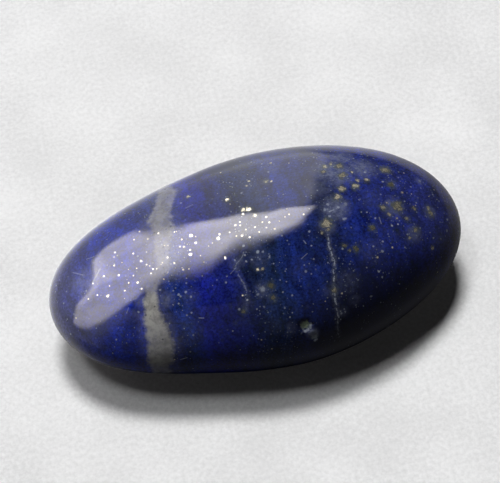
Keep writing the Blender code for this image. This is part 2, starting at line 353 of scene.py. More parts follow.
# Flecks: fool's gold and pale grains, each where the frame shows it, and scattered over the far side
flecks = {
    "gold": (  # frame x and y, radius in mm, how bright
        (243.5, 209.5, 0.23, 0.75), (248.6, 209.3, 0.25, 0.65), (254.5, 216.0, 0.19, 1.0),
        (227.3, 199.5, 0.2, 0.8), (246.8, 185.7, 0.14, 0.7), (248.8, 181.3, 0.11, 0.6),
        (266.0, 181.5, 0.22, 0.3), (271.3, 181.3, 0.12, 0.8), (271.0, 163.2, 0.15, 0.4),
        (187.8, 196.8, 0.2, 0.4), (324.8, 166.7, 0.24, 0.3), (330.8, 163.8, 0.2, 0.4),
        (338.7, 165.8, 0.32, 0.5), (322.9, 171.7, 0.22, 0.4), (342.6, 175.6, 0.38, 0.5),
        (352.0, 172.2, 0.15, 0.7), (357.6, 180.6, 0.2, 0.8), (355.0, 185.7, 0.32, 0.3),
        (366.8, 180.0, 0.2, 0.8), (341.6, 188.7, 0.3, 0.8), (337.2, 197.4, 0.3, 1.0),
        (326.8, 223.1, 0.44, 0.6), (328.0, 229.4, 0.18, 0.4), (321.9, 233.0, 0.16, 0.3),
        (385.1, 169.7, 0.43, 0.5), (402.0, 192.4, 0.14, 0.7), (397.0, 206.3, 0.48, 0.4),
        (383.2, 207.3, 0.25, 0.4), (386.6, 202.8, 0.14, 0.6), (389.1, 214.2, 0.19, 0.45),
        (414.3, 208.3, 0.2, 0.4), (428.1, 208.3, 0.18, 0.7), (431.0, 213.6, 0.25, 0.6),
        (406.9, 218.6, 0.2, 0.5), (396.5, 218.4, 0.13, 0.5), (372.3, 228.0, 0.25, 0.2),
        (415.8, 230.0, 0.23, 0.5), (409.8, 237.9, 0.2, 0.5), (432.6, 247.8, 0.19, 0.6),
        (344.6, 245.8, 0.2, 0.1), (350.0, 250.5, 0.18, 0.2), (356.0, 248.8, 0.27, 0.1),
        (258.0, 269.5, 0.17, 0.5), (262.3, 269.0, 0.16, 0.5), (271.0, 285.5, 0.25, 0.1),
        (273.0, 298.0, 0.24, 0.1), (225.1, 257.6, 0.13, 0.6), (244.0, 311.5, 0.2, 0.0),
        (334.6, 290.4, 0.22, 0.4), (391.5, 184.5, 0.28, 0.1),
    ),
    "sparks": (  # small grains that catch the window: frame x and y, radius in mm
        (115.3, 252.4, 0.13), (114.2, 265.5, 0.09), (118.9, 275.2, 0.13), (104.0, 276.0, 0.13),
        (107.9, 295.9, 0.2), (128.6, 282.9, 0.1), (88.4, 299.0, 0.09), (97.4, 295.0, 0.09),
        (93.0, 283.4, 0.09), (139.4, 231.4, 0.12), (147.6, 239.2, 0.1), (133.9, 239.8, 0.12),
        (158.1, 233.4, 0.1), (133.4, 253.6, 0.11), (141.1, 260.9, 0.17), (146.6, 264.6, 0.09),
        (149.8, 265.9, 0.08), (152.8, 269.1, 0.1), (137.9, 282.5, 0.13), (141.4, 288.7, 0.12),
        (133.4, 275.7, 0.1), (124.8, 290.6, 0.1), (174.2, 263.1, 0.12), (162.3, 262.8, 0.1),
        (167.5, 257.4, 0.09), (190.7, 235.6, 0.2), (181.9, 239.6, 0.1), (195.9, 242.9, 0.14),
        (179.8, 246.4, 0.1), (184.0, 246.8, 0.1), (190.3, 249.8, 0.1), (190.4, 254.4, 0.19),
        (163.8, 278.9, 0.09), (183.1, 269.5, 0.11), (218.6, 238.3, 0.23), (219.6, 233.8, 0.14),
        (236.4, 235.9, 0.09), (242.0, 235.6, 0.12), (249.4, 237.1, 0.11), (240.0, 222.0, 0.1),
        (235.3, 225.3, 0.13), (240.2, 225.4, 0.09), (262.3, 222.2, 0.1), (269.4, 222.6, 0.11),
        (266.2, 217.0, 0.12), (279.3, 221.0, 0.08), (274.8, 228.8, 0.12), (266.5, 227.7, 0.1),
        (259.2, 231.9, 0.1), (289.0, 214.5, 0.11), (286.5, 209.2, 0.1), (284.8, 216.9, 0.09),
        (303.7, 214.2, 0.1), (243.3, 213.9, 0.18), (114.0, 257.0, 0.07), (229.6, 232.4, 0.08),
        (176.5, 231.5, 0.08), (164.5, 245.5, 0.07), (208.5, 246.0, 0.07), (156.7, 268.9, 0.07),
        (161.1, 264.4, 0.07), (167.8, 272.2, 0.07), (167.8, 245.6, 0.08), (182.2, 267.8, 0.07),
        (188.9, 268.9, 0.08), (195.6, 236.7, 0.09), (151.1, 273.3, 0.08), (124.5, 298.5, 0.06),
        (128.5, 269.5, 0.06), (146.5, 252.0, 0.06), (204.0, 262.0, 0.07), (200.5, 255.5, 0.07),
        (212.5, 243.0, 0.07), (109.5, 286.0, 0.07), (122.0, 262.5, 0.06),
    ),
    "pale": (  # frame x and y, radius in mm, how bright
        (243.5, 245.8, 0.15, 0.8), (245.0, 255.0, 0.11, 0.7), (234.8, 260.0, 0.1, 0.6),
        (246.0, 261.3, 0.13, 0.6), (251.6, 259.6, 0.1, 0.6), (257.8, 251.9, 0.17, 0.7),
        (262.9, 251.6, 0.14, 0.5), (269.5, 257.0, 0.1, 0.5), (259.8, 259.2, 0.09, 0.4),
        (273.6, 263.7, 0.09, 0.6), (227.0, 276.4, 0.11, 0.4), (226.0, 282.2, 0.14, 0.5),
        (247.3, 299.9, 0.1, 0.9), (239.4, 309.2, 0.14, 0.5), (262.3, 289.4, 0.27, 0.5),
        (257.8, 294.3, 0.14, 0.4), (256.7, 309.0, 0.09, 0.5), (264.4, 307.0, 0.11, 0.3),
        (282.8, 292.2, 0.1, 0.6), (292.4, 295.3, 0.1, 0.5), (284.8, 308.0, 0.1, 0.5),
        (292.4, 312.7, 0.08, 0.7), (280.2, 280.0, 0.07, 0.5), (286.3, 281.5, 0.07, 0.5),
        (305.7, 271.3, 0.12, 0.4), (311.3, 273.9, 0.08, 0.5), (311.3, 245.8, 0.1, 0.6),
        (309.3, 231.5, 0.13, 0.5), (313.9, 259.0, 0.09, 0.4), (328.0, 262.7, 0.09, 0.6),
        (178.7, 294.8, 0.14, 0.6), (185.8, 292.2, 0.13, 0.7), (190.9, 296.8, 0.1, 0.6),
        (178.7, 303.5, 0.09, 0.6), (186.8, 315.2, 0.09, 0.5), (191.4, 312.7, 0.09, 0.5),
        (186.3, 283.0, 0.1, 0.4), (138.5, 312.0, 0.12, 0.5), (232.8, 331.0, 0.08, 0.6),
        (382.7, 241.4, 0.11, 0.7), (373.3, 246.3, 0.11, 0.7), (382.4, 251.3, 0.15, 0.6),
        (367.4, 244.5, 0.07, 0.4), (366.8, 212.2, 0.09, 0.9), (392.0, 225.6, 0.12, 0.9),
        (398.0, 224.3, 0.1, 1.0), (420.2, 228.0, 0.09, 0.7), (447.4, 219.8, 0.14, 0.7),
        (446.9, 230.5, 0.16, 0.5), (441.0, 239.0, 0.08, 0.5), (433.6, 238.0, 0.1, 0.5),
        (437.0, 199.4, 0.08, 0.5), (432.6, 194.4, 0.09, 0.4), (344.6, 218.8, 0.2, 0.6),
        (375.2, 218.2, 0.12, 0.6), (364.9, 172.2, 0.15, 0.7), (382.7, 181.6, 0.12, 0.6),
        (398.5, 177.6, 0.09, 0.4), (340.6, 311.2, 0.09, 0.5), (344.2, 309.0, 0.09, 0.4),
        (340.6, 319.4, 0.08, 0.6), (378.8, 271.5, 0.11, 0.8), (382.4, 277.0, 0.1, 0.6),
        (366.8, 267.6, 0.09, 0.5), (371.0, 296.5, 0.13, 0.4), (399.5, 283.8, 0.08, 0.3),
        (268.5, 172.0, 0.12, 0.5), (241.5, 192.8, 0.13, 0.5), (312.5, 311.8, 0.09, 0.4),
        (327.8, 204.3, 0.16, 0.5), (324.8, 209.6, 0.18, 0.5), (338.4, 207.3, 0.16, 0.6),
        (345.6, 204.0, 0.22, 0.3), (329.8, 216.2, 0.15, 0.6), (181.0, 203.0, 0.12, 0.5),
        (419.7, 181.0, 0.18, 0.3), (70.5, 334.0, 0.12, 0.6), (74.0, 314.0, 0.11, 0.4),
        (160.0, 290.0, 0.12, 0.5), (305.2, 331.2, 0.22, 0.9), (315.6, 339.8, 0.25, 1.0),
        (312.6, 333.2, 0.5, 0.3), (314.8, 336.8, 0.4, 0.42), (341.5, 313.5, 0.12, 0.5),
        (338.8, 317.0, 0.12, 0.5), (345.0, 312.0, 0.1, 0.5), (356.0, 305.0, 0.12, 0.25),
    ),
    "mists": (  # milky clouds, one of them a painted reflection: frame x and y, radius in mm, how thick
        (335, 172, 2.4, 1.0), (335, 208, 1.7, 1.0), (327, 225, 1.1, 0.6), (393, 207, 1.4, 0.6),
        (414, 234, 1.1, 0.5), (430, 212, 0.9, 0.55), (419, 181, 0.6, 0.5), (385, 170, 0.9, 0.5),
        (262, 290, 1.0, 0.45), (237, 263, 1.0, 0.3), (258, 258, 1.3, 0.25), (188, 333, 2.2, 0.12),
        (277, 327, 1.3, 0.1), (189, 297, 1.3, 0.22), (320, 187, 1.6, 0.35), (246, 300, 1.2, 0.12),
        # the cloud at (82, 281) is a painted reflection: the dim veil over the tail's dent
        (343, 312, 0.7, 0.4), (290, 329, 0.9, 0.3), (312.5, 333, 0.75, 1.0), (82, 281, 1.6, 0.25),
        (172, 256, 1.8, 0.35), (168, 299, 1.0, 0.5), (139, 301, 0.6, 0.45), (372, 198, 1.6, 0.12),
        (392, 183, 1.0, 0.2), (300, 268, 1.4, 0.1), (348, 282, 1.5, 0.22), (331, 290, 0.8, 0.25),
        (342, 158, 1.6, 0.8), (372, 250, 1.8, 0.18), (355, 300, 0.8, 0.25), (270, 168, 1.5, 0.2),
        (361, 168, 2.0, 0.8), (440, 240, 1.2, 0.2),
    ),
    "strokes": (  # scratches, short cracks and one painted highlight: frame x and y of both ends, half its width in mm, how bright
        (180.2, 359.6, 187.3, 357.6, 0.05, 0.65), (199.0, 317.9, 203.7, 318.0, 0.05, 0.6),
        (301.6, 258.6, 307.2, 253.5, 0.05, 0.35), (303.7, 240.7, 305.9, 243.4, 0.06, 0.45),
        (379.2, 217.2, 381.2, 223.6, 0.05, 0.45), (86.7, 259.2, 93.6, 256.8, 0.07, 0.25),
        # the stroke from (93, 282) to (99.8, 269.5) is a painted highlight along the rim of the tail's dent
        (73.0, 272.6, 83.0, 275.0, 0.07, 0.3), (93.0, 282.0, 99.8, 269.5, 0.13, 0.3),
        (329.4, 211.4, 333.6, 209.8, 0.08, 0.6), (126.6, 313.0, 128.6, 307.5, 0.06, 0.3),
        (230.5, 273.8, 236.0, 267.6, 0.05, 0.3), (186.0, 207.8, 192.5, 204.8, 0.1, 0.18),
        (300.6, 326.6, 304.0, 329.8, 0.12, 0.35), (305.4, 330.8, 309.8, 329.0, 0.17, 0.75),
        (310.4, 328.2, 311.2, 323.4, 0.14, 0.6), (301.5, 333.6, 303.6, 331.4, 0.12, 0.2),
    ),
    "shrink": {"gold": 0.83, "sparks": 0.62, "pale": 0.72, "strokes": 0.6},
    "sparkBright": 1.5,
    "scattered": {"gold": 170, "pale": 240, "mists": 45, "seed": 7},
    "smallest": 0.05,  # mm
    "largest": 0.27,
    "rarity": 4,  # a higher power makes the large ones rarer
    "brightness": (0.1, 0.9),
    "mistSize": 6,  # times a fleck's
    "mistThickness": 0.6,
    "hiddenFrom": -0.12,  # how far a face is turned away, from -1 to 1
}


def faceValues(mesh, name):
    values = np.empty(len(mesh.polygons) * 3)
    mesh.polygons.foreach_get(name, values)
    return values.reshape(-1, 3)


def scatterOver(centres, hidden, count, draw):
    smallest, largest = flecks["smallest"], flecks["largest"]
    rows = []
    for index in draw.sample(list(hidden), count):
        size = smallest + (largest - smallest) * draw.random() ** flecks["rarity"]
        rows.append((centres[index], centres[index], size, draw.uniform(*flecks["brightness"])))
    return rows


def roundFlecks(skin, rows, shrink=1.0):
    return [(spotAt(skin, x, y),) * 2 + (size * shrink, bright) for x, y, size, bright in rows]


def nearestFleck(piece, name, centres, rows):
    best = np.full(len(centres), np.inf)
    place = np.zeros((len(centres), 3))
    half = np.zeros((len(centres), 3))
    size = np.zeros(len(centres))
    shine = np.zeros(len(centres))
    for start, end, radius, bright in rows:
        middle, along = (start + end) / 2, (end - start) / 2
        away = centres - middle
        length = along @ along
        if length > 0:
            away = away - np.clip(away @ along / length, -1, 1)[:, None] * along
        gap = np.linalg.norm(away, axis=1) - radius
        nearer = gap < best
        best[nearer] = gap[nearer]
        place[nearer], half[nearer], size[nearer], shine[nearer] = middle, along, radius, bright
    for ending, values in (("Place", place), ("Half", half), ("Size", size), ("Shine", shine)):
        saveValues(piece, name + ending, "FACE", values)


def addFlecks(piece):
    skin = skinOf(piece)
    centres = faceValues(piece.data, "center") / mm
    away = centres - np.array(cameraPlace) / mm
    away /= np.linalg.norm(away, axis=1)[:, None]
    turned = (faceValues(piece.data, "normal") * away).sum(axis=1)
    hidden = np.flatnonzero(turned > flecks["hiddenFrom"])
    shrink, counts = flecks["shrink"], flecks["scattered"]
    draw = random.Random(counts["seed"])
    gold = roundFlecks(skin, flecks["gold"], shrink["gold"])
    sparks = [(*row, flecks["sparkBright"]) for row in flecks["sparks"]]
    gold += roundFlecks(skin, sparks, shrink["sparks"])
    gold += scatterOver(centres, hidden, counts["gold"], draw)
    pale = roundFlecks(skin, flecks["pale"], shrink["pale"])
    for x, y, endX, endY, size, bright in flecks["strokes"]:
        pale.append((spotAt(skin, x, y), spotAt(skin, endX, endY), size * shrink["strokes"], bright))
    pale += scatterOver(centres, hidden, counts["pale"], draw)
    mists = roundFlecks(skin, flecks["mists"])
    for spot, end, size, bright in scatterOver(centres, hidden, counts["mists"], draw):
        mists.append((spot, end, size * flecks["mistSize"], bright * flecks["mistThickness"]))
    nearestFleck(piece, "mist", centres, mists)
    nearestFleck(piece, "gold", centres, gold)
    nearestFleck(piece, "pale", centres, pale)


addFlecks(pebble)
print("flecks placed")


# Shader building
def addNode(tree, kind, values=None, **settings):
    node = tree.nodes.new("ShaderNode" + kind)
    for name, value in settings.items():
        setattr(node, name, value)
    for name, value in (values or {}).items():
        socket = node.inputs[name]
        if isinstance(value, bpy.types.NodeSocket):
            tree.links.new(value, socket)
        else:
            socket.default_value = value
    return node


def doMath(tree, operation, first, second=0.0, clamp=False):
    return addNode(tree, "Math", {0: first, 1: second}, operation=operation, use_clamp=clamp).outputs[0]


def times(tree, first, second, clamp=False):
    return doMath(tree, "MULTIPLY", first, second, clamp)


def plus(tree, first, second, clamp=False):
    return doMath(tree, "ADD", first, second, clamp)


def minus(tree, first, second):
    return doMath(tree, "SUBTRACT", first, second)


def larger(tree, first, second):
    return doMath(tree, "MAXIMUM", first, second)


def doVector(tree, operation, first, second=(0.0, 0.0, 0.0)):
    node = addNode(tree, "VectorMath", {0: first}, operation=operation)
    target = node.inputs["Scale"] if operation == "SCALE" else node.inputs[1]
    if isinstance(second, bpy.types.NodeSocket):
        tree.links.new(second, target)
    else:
        target.default_value = second
    return node.outputs["Value" if operation in ("LENGTH", "DOT_PRODUCT") else "Vector"]


def ramp(tree, value, fromLow, fromHigh, toLow=0.0, toHigh=1.0):
    names = {"Value": value, "From Min": fromLow, "From Max": fromHigh, "To Min": toLow, "To Max": toHigh}
    return addNode(tree, "MapRange", names, interpolation_type="SMOOTHSTEP").outputs[0]


def colourRamp(tree, value, rows):  # each row is a spot from 0 to 1 and the colour there
    node = addNode(tree, "ValToRGB", {"Fac": value})
    stops = node.color_ramp.elements
    for number, (spot, colour) in enumerate(rows):
        stop = stops[number] if number < 2 else stops.new(spot)
        stop.position = spot
        stop.color = colour
    return node.outputs


def mixColours(tree, share, first, second, blend="MIX"):
    node = addNode(tree, "Mix", data_type="RGBA", blend_type=blend)
    for socket, value in zip((node.inputs[0], node.inputs[6], node.inputs[7]), (share, first, second)):
        if isinstance(value, bpy.types.NodeSocket):
            tree.links.new(value, socket)
        elif isinstance(value, tuple):
            socket.default_value = (*value, 1.0)
        else:
            socket.default_value = value
    return node.outputs[2]


def mixValues(tree, share, first, second):
    return addNode(tree, "Mix", {0: share, 2: first, 3: second}, data_type="FLOAT").outputs[0]


def grey(tree, value):
    return addNode(tree, "CombineColor", {0: value, 1: value, 2: value}).outputs[0]


def cloud(tree, place, scale, detail=2.0, roughness=0.5):
    names = {"Vector": place, "Scale": scale, "Detail": detail, "Roughness": roughness}
    return addNode(tree, "TexNoise", names).outputs["Fac"]


def pattern(tree, place, look):  # a noise drawn through a ramp
    return ramp(tree, cloud(tree, place, *look["noise"]), *look["ramp"])


def wobble(tree, place, noise, reach):  # a noise round 0
    return times(tree, minus(tree, cloud(tree, place, *noise), 0.5), reach)


def placeInMm(tree):
    return doVector(tree, "SCALE", addNode(tree, "TexCoord").outputs["Object"], 1 / mm)


def newMaterial(name):
    material = bpy.data.materials.new(name)
    material.use_nodes = True
    return material, material.node_tree, material.node_tree.nodes["Principled BSDF"]


def readValue(tree, name, output="Fac"):
    return addNode(tree, "Attribute", attribute_name=name).outputs[output]


def newGroup(name, inputs, outputs):
    tree = bpy.data.node_groups.new(name, "ShaderNodeTree")
    for label, kind in inputs:
        tree.interface.new_socket(name=label, in_out="INPUT", socket_type="NodeSocket" + kind)
    for label, kind in outputs:
        tree.interface.new_socket(name=label, in_out="OUTPUT", socket_type="NodeSocket" + kind)
    return tree, tree.nodes.new("NodeGroupInput").outputs, tree.nodes.new("NodeGroupOutput").inputs


def useGroup(tree, name, values):
    node = tree.nodes.new("ShaderNodeGroup")
    node.node_tree = bpy.data.node_groups[name]
    for label, value in values.items():
        if isinstance(value, bpy.types.NodeSocket):
            tree.links.new(value, node.inputs[label])
        else:
            node.inputs[label].default_value = value
    return node.outputs


# A noise is its scale per mm, detail and roughness, and a ramp its two ends and what it gives at each
fleckShape = {
    "rag": (4.2, 3.0),  # noise
    "softShare": 0.28,  # of the radius
    "softLeast": 0.025,  # mm
    "fade": (1.1, 0.1),  # in radii, for a soft cloud
    "halo": (-0.45, 0.0),  # mm from the edge
}
grainShape = {"smallest": 0.35, "edge": (-0.02, 0.03)}  # share of the full size, mm
threadShape = {
    "wander": (1.6,),  # noise
    "wanderReach": 0.35,  # mm
    "gaps": {"noise": (3.4, 3.0, 0.6), "ramp": (0.36, 0.54, 0.16, 0.0)},
    "edge": (-0.07, 0.05),  # mm
    "haze": (-0.4, 0.0),
    "hazeShare": 0.16,
}


def makePlacedFleck():  # one fleck with a ragged edge, round or drawn out along a stroke
    inputs = (
        ("Place", "Vector"), ("Middle", "Vector"), ("Half", "Vector"), ("Size", "Float"), ("Rag", "Float"),
    )
    outputs = (("Mask", "Float"), ("Halo", "Float"), ("Soft", "Float"), ("Chance", "Color"))
    tree, given, out = newGroup("placedFleck", inputs, outputs)
    away = doVector(tree, "SUBTRACT", given["Place"], given["Middle"])
    length = doVector(tree, "DOT_PRODUCT", given["Half"], given["Half"])
    share = doMath(tree, "DIVIDE", doVector(tree, "DOT_PRODUCT", away, given["Half"]), length)
    share = addNode(tree, "Clamp", {"Value": share, "Min": -1.0, "Max": 1.0}).outputs[0]
    nearest = doVector(tree, "SCALE", given["Half"], share)
    gap = doVector(tree, "LENGTH", doVector(tree, "SUBTRACT", away, nearest))
    rag = times(tree, wobble(tree, given["Place"], fleckShape["rag"], given["Rag"]), given["Size"])
    inside = minus(tree, plus(tree, given["Size"], rag), gap)
    soft = plus(tree, times(tree, given["Size"], fleckShape["softShare"]), fleckShape["softLeast"])
    chance = addNode(tree, "TexWhiteNoise", {"Vector": given["Middle"]}).outputs["Color"]
    tree.links.new(ramp(tree, doMath(tree, "DIVIDE", inside, soft), -1.0, 1.0), out["Mask"])
    tree.links.new(ramp(tree, doMath(tree, "DIVIDE", gap, given["Size"]), *fleckShape["fade"]), out["Soft"])
    tree.links.new(ramp(tree, inside, *fleckShape["halo"]), out["Halo"])
    tree.links.new(chance, out["Chance"])


def makeGrainDots():  # random round grains: Share of the cells hold one
    inputs = (("Place", "Vector"), ("Cells", "Float"), ("Size", "Float"), ("Share", "Float"))
    tree, given, out = newGroup("grainDots", inputs, (("Mask", "Float"), ("Chance", "Color")))
    cells = addNode(tree, "TexVoronoi", {"Vector": given["Place"], "Scale": given["Cells"]})
    chance = addNode(tree, "SeparateColor", {"Color": cells.outputs["Color"]}).outputs
    gap = doMath(tree, "DIVIDE", cells.outputs["Distance"], given["Cells"])
    size = times(tree, given["Size"], mixValues(tree, chance["Green"], grainShape["smallest"], 1.0))
    size = times(tree, size, doMath(tree, "LESS_THAN", chance["Red"], given["Share"]))
    inside = minus(tree, size, gap)
    tree.links.new(ramp(tree, inside, *grainShape["edge"]), out["Mask"])
    tree.links.new(cells.outputs["Color"], out["Chance"])


def makeFineVein():  # a thread of calcite that thins, wanders and breaks up
    inputs = (("Place", "Vector"), ("Across", "Float"), ("Width", "Float"))
    tree, given, out = newGroup("fineVein", inputs, (("Mask", "Float"),))
    wander = wobble(tree, given["Place"], threadShape["wander"], threadShape["wanderReach"])
    gap = doMath(tree, "ABSOLUTE", plus(tree, given["Across"], wander))
    gap = plus(tree, gap, pattern(tree, given["Place"], threadShape["gaps"]))
    inside = minus(tree, given["Width"], gap)
    haze = times(tree, ramp(tree, inside, *threadShape["haze"]), threadShape["hazeShare"])
    tree.links.new(larger(tree, ramp(tree, inside, *threadShape["edge"]), haze), out["Mask"])


# The blue: bands across the length, streaked and mottled
blue = {
    "bands": (  # X in mm, the colour there, and how crowded with grains
        (-19.0, (0.055, 0.058, 0.170), 0.5),
        (-17.0, (0.022, 0.028, 0.150), 0.4),
        (-14.0, (0.005, 0.018, 0.240), 0.3),
        (-11.5, (0.005, 0.018, 0.240), 0.25),
        (-9.0, (0.010, 0.020, 0.150), 0.5),
        (-7.2, (0.007, 0.024, 0.180), 0.9),
        (-5.4, (0.008, 0.014, 0.230), 0.12),
        (-3.2, (0.008, 0.014, 0.140), 0.2),
        (-1.0, (0.008, 0.017, 0.072), 0.9),
        (0.8, (0.010, 0.022, 0.090), 0.75),
        (3.0, (0.009, 0.023, 0.180), 0.2),
        (6.2, (0.010, 0.018, 0.085), 0.6),
        (9.5, (0.009, 0.022, 0.220), 0.6),
        (13.0, (0.010, 0.021, 0.215), 0.85),
        (17.5, (0.018, 0.026, 0.170), 0.5),
    ),
    "warp": {"Scale": 0.22, "Detail": 3.0},
    "warpReach": 3.5,  # mm
    "streaks": {"noise": (1.1, 4.0, 0.6), "ramp": (0.3, 0.7, 0.58, 1.5)},
    "streakStretch": (1.0, 0.3, 0.3),
    "grain": (4.5, 4.0, 0.7),
    "grainTone": (0.3, 0.7, 0.4, 1.6),
    "teal": {"colour": (0.022, 0.042, 0.075), "noise": (3.2, 5.0, 0.75), "ramp": (0.5, 0.72, 0.0, 0.65)},
    "tealShift": (5.0, 17.0, 9.0),
    "ink": {"colour": (0.007, 0.009, 0.028), "noise": (0.55, 6.0, 0.65), "ramp": (0.55, 0.72, 0.0, 0.8)},
    "milk": {"colour": (0.060, 0.075, 0.150), "noise": (0.6, 6.0, 0.75), "ramp": (0.54, 0.8, 0.0, 0.55)},
    "milkShift": (31.0, 7.0, 3.0),
    # painted shade: the front of the head darkened towards the ink colour
    "paintedShadePatch": {"at": (9.5, -9.5, 4.5), "ramp": (11.5, 5.0, 0.0, 0.86)},  # mm
    "stains": {"colour": (0.008, 0.018, 0.024), "noise": (1.5, 5.0, 0.7), "ramp": (0.5, 0.66)},
    "stainShare": 0.75,
}


def paintBlue(tree, place, grain):
    warp = addNode(tree, "TexNoise", {"Vector": place, **blue["warp"]}).outputs["Color"]
    warp = doVector(tree, "SCALE", doVector(tree, "SUBTRACT", warp, (0.5, 0.5, 0.5)), blue["warpReach"])
    bent = doVector(tree, "ADD", place, warp)
    alongX = addNode(tree, "SeparateXYZ", {"Vector": bent}).outputs["X"]
    first, last = blue["bands"][0][0], blue["bands"][-1][0]
    position = addNode(tree, "MapRange", {"Value": alongX, "From Min": first, "From Max": last}).outputs[0]
    rows = [((spot - first) / (last - first), (*colour, crowd)) for spot, colour, crowd in blue["bands"]]
    bands = colourRamp(tree, position, rows)

    stretched = doVector(tree, "MULTIPLY", bent, blue["streakStretch"])
    tone = times(tree, pattern(tree, stretched, blue["streaks"]), ramp(tree, grain, *blue["grainTone"]))
    colour = mixColours(tree, 1.0, bands["Color"], grey(tree, tone), "MULTIPLY")
    places = {"teal": doVector(tree, "ADD", place, blue["tealShift"]), "ink": bent}
    places["milk"] = doVector(tree, "ADD", bent, blue["milkShift"])
    for name, where in places.items():
        colour = mixColours(tree, pattern(tree, where, blue[name]), colour, blue[name]["colour"])

    # Painted shade, darker towards the front of the head, and stained dark green in the crowded bands
    away = doVector(tree, "LENGTH", doVector(tree, "SUBTRACT", bent, blue["paintedShadePatch"]["at"]))
    colour = mixColours(tree, ramp(tree, away, *blue["paintedShadePatch"]["ramp"]), colour, blue["ink"]["colour"])
    stains = times(tree, pattern(tree, bent, blue["stains"]), bands["Alpha"], True)
    colour = mixColours(tree, times(tree, stains, blue["stainShare"]), colour, blue["stains"]["colour"])
    return colour, bands["Alpha"]


# White: the broad vein, cloudy and speckled with a haze beside it, and the two threads
white = {
    "calcite": (0.430, 0.430, 0.405),
    "calciteShade": (0.260, 0.260, 0.250),
    "thread": (0.420, 0.470, 0.560),
    "rag": (1.1, 5.0, 0.7),  # noise
    "ragReach": 0.9,  # mm
    "edge": (-0.3, 0.32),
    "clouds": {"noise": (1.1, 5.0, 0.7), "ramp": (0.36, 0.62)},
    "spots": {"Cells": 2.1, "Size": 0.13, "Share": 0.3},
    "spotShare": 0.6,
    "halo": (-1.2, 0.2),
    "haloShare": 0.15,
    "strengths": {"thread": 1.0, "faint": 0.45},
    "crumbs": {"noise": (8.0, 3.0, 0.7), "ramp": (0.35, 0.6, 0.25, 0.95)},
}


def paintBroadVein(tree, place, colour):
    rag = wobble(tree, place, white["rag"], white["ragReach"])
    edge = plus(tree, readValue(tree, "broadVein"), rag)
    broad = ramp(tree, edge, *white["edge"])
    clouds = pattern(tree, place, white["clouds"])
    calcite = mixColours(tree, clouds, white["calciteShade"], white["calcite"])
    spots = useGroup(tree, "grainDots", {"Place": place, **white["spots"]})
    spotted = times(tree, spots["Mask"], white["spotShare"])
    calcite = mixColours(tree, spotted, calcite, blue["ink"]["colour"])
    halo = times(tree, ramp(tree, edge, *white["halo"]), white["haloShare"])
    cover = times(tree, larger(tree, broad, halo), readValue(tree, "broadThick"))
    return mixColours(tree, cover, colour, calcite), broad


def paintThreads(tree, place, colour):
    threads = 0.0
    for name, strength in white["strengths"].items():
        values = {"Place": place, "Across": readValue(tree, name + "Across")}
        values["Width"] = readValue(tree, name + "Width")
        mask = times(tree, useGroup(tree, "fineVein", values)["Mask"], strength)
        threads = larger(tree, threads, mask)
    crumbs = pattern(tree, place, white["crumbs"])
    return mixColours(tree, times(tree, threads, crumbs), colour, white["thread"])


# Grains: milky clouds, fool's gold large and small, pale flecks and dust
grains = {
    "mist": (0.145, 0.168, 0.285),
    "matrix": (0.070, 0.088, 0.084),
    "goldBright": (0.590, 0.550, 0.420),
    "goldDull": (0.135, 0.137, 0.100),
    "pale": (0.420, 0.470, 0.560),
    "dust": (0.230, 0.270, 0.330),
    "curds": {"noise": (2.4, 6.0, 0.75), "ramp": (0.36, 0.66, 0.4, 1.3)},
    "rag": {"mist": 0.0, "pale": 2.2, "gold": 2.8},
    "flocks": {"noise": (0.7, 4.0), "ramp": (0.36, 0.64, 0.15, 1.5)},
    "flockStretch": (1.0, 0.5, 0.5),
    "smallGold": {"Cells": 1.3, "Size": 0.1},
    "smallGoldShare": (0.02, 0.16),  # least and most crowded
    "haloBySize": (0.1, 0.26, 0.0, 0.8),
    "dustCrowd": 0.75,
    "dustLayers": ({"Cells": 2.3, "Size": 0.1}, {"Cells": 4.3, "Size": 0.07}),
    "dustPower": 1.5,
    "patina": {"noise": (8.0, 3.0, 0.7), "ramp": (0.3, 0.7, -0.55, 0.3)},
}


def useFlecks(tree, place, name):  # the placed flecks of one kind
    values = {"Place": place, "Rag": grains["rag"][name]}
    values["Middle"] = readValue(tree, name + "Place", "Vector")
    values["Half"] = readValue(tree, name + "Half", "Vector")
    values["Size"] = readValue(tree, name + "Size")
    return useGroup(tree, "placedFleck", values), readValue(tree, name + "Shine")


def paintDust(tree, place, colour, dusty):
    for layer in grains["dustLayers"]:
        dust = useGroup(tree, "grainDots", {"Place": place, "Share": dusty, **layer})
        bright = addNode(tree, "SeparateColor", {"Color": dust["Chance"]}).outputs["Blue"]
        bright = times(tree, dust["Mask"], doMath(tree, "POWER", bright, grains["dustPower"]))
        colour = mixColours(tree, bright, colour, grains["dust"])
    return colour


# Polish, and where it is lost: the broken pit and chip, and the dulled dent
polish = {
    "chipped": (0.330, 0.430, 0.270),
    "uneven": (3.0, 4.0, 0.7),  # noise
    "unevenReach": 1.1,
    "pit": (0.75, 1.2),
    "chip": (0.4, 1.3, 0.0, 0.5),
    "dent": (0.7, 1.3),
    "dentShare": 0.7,
    "speckle": {"noise": (5.0, 3.0), "ramp": (0.35, 0.6)},
    "speckleHeight": 2.0,
    "metallic": 0.65,
    "roughness": (0.3, 0.7, 0.05, 0.09),  # by the grain of the blue
    "veinRoughness": 0.13,
    "dentRoughness": 0.22,
    "goldRoughness": 0.3,
    "pitRoughness": 0.6,
    "goldTilt": 0.25,
    "grainHeight": 0.25,
    "goldHeight": -0.3,
    "bumpStrength": 0.5,
    "bumpDistance": 0.02,  # mm
}


def findBroken(tree, place):
    uneven = wobble(tree, place, polish["uneven"], polish["unevenReach"])
    broken = ramp(tree, plus(tree, readValue(tree, "pit"), uneven), *polish["pit"])
    scuffed = ramp(tree, plus(tree, readValue(tree, "chip"), uneven), *polish["chip"])
    return larger(tree, broken, scuffed)


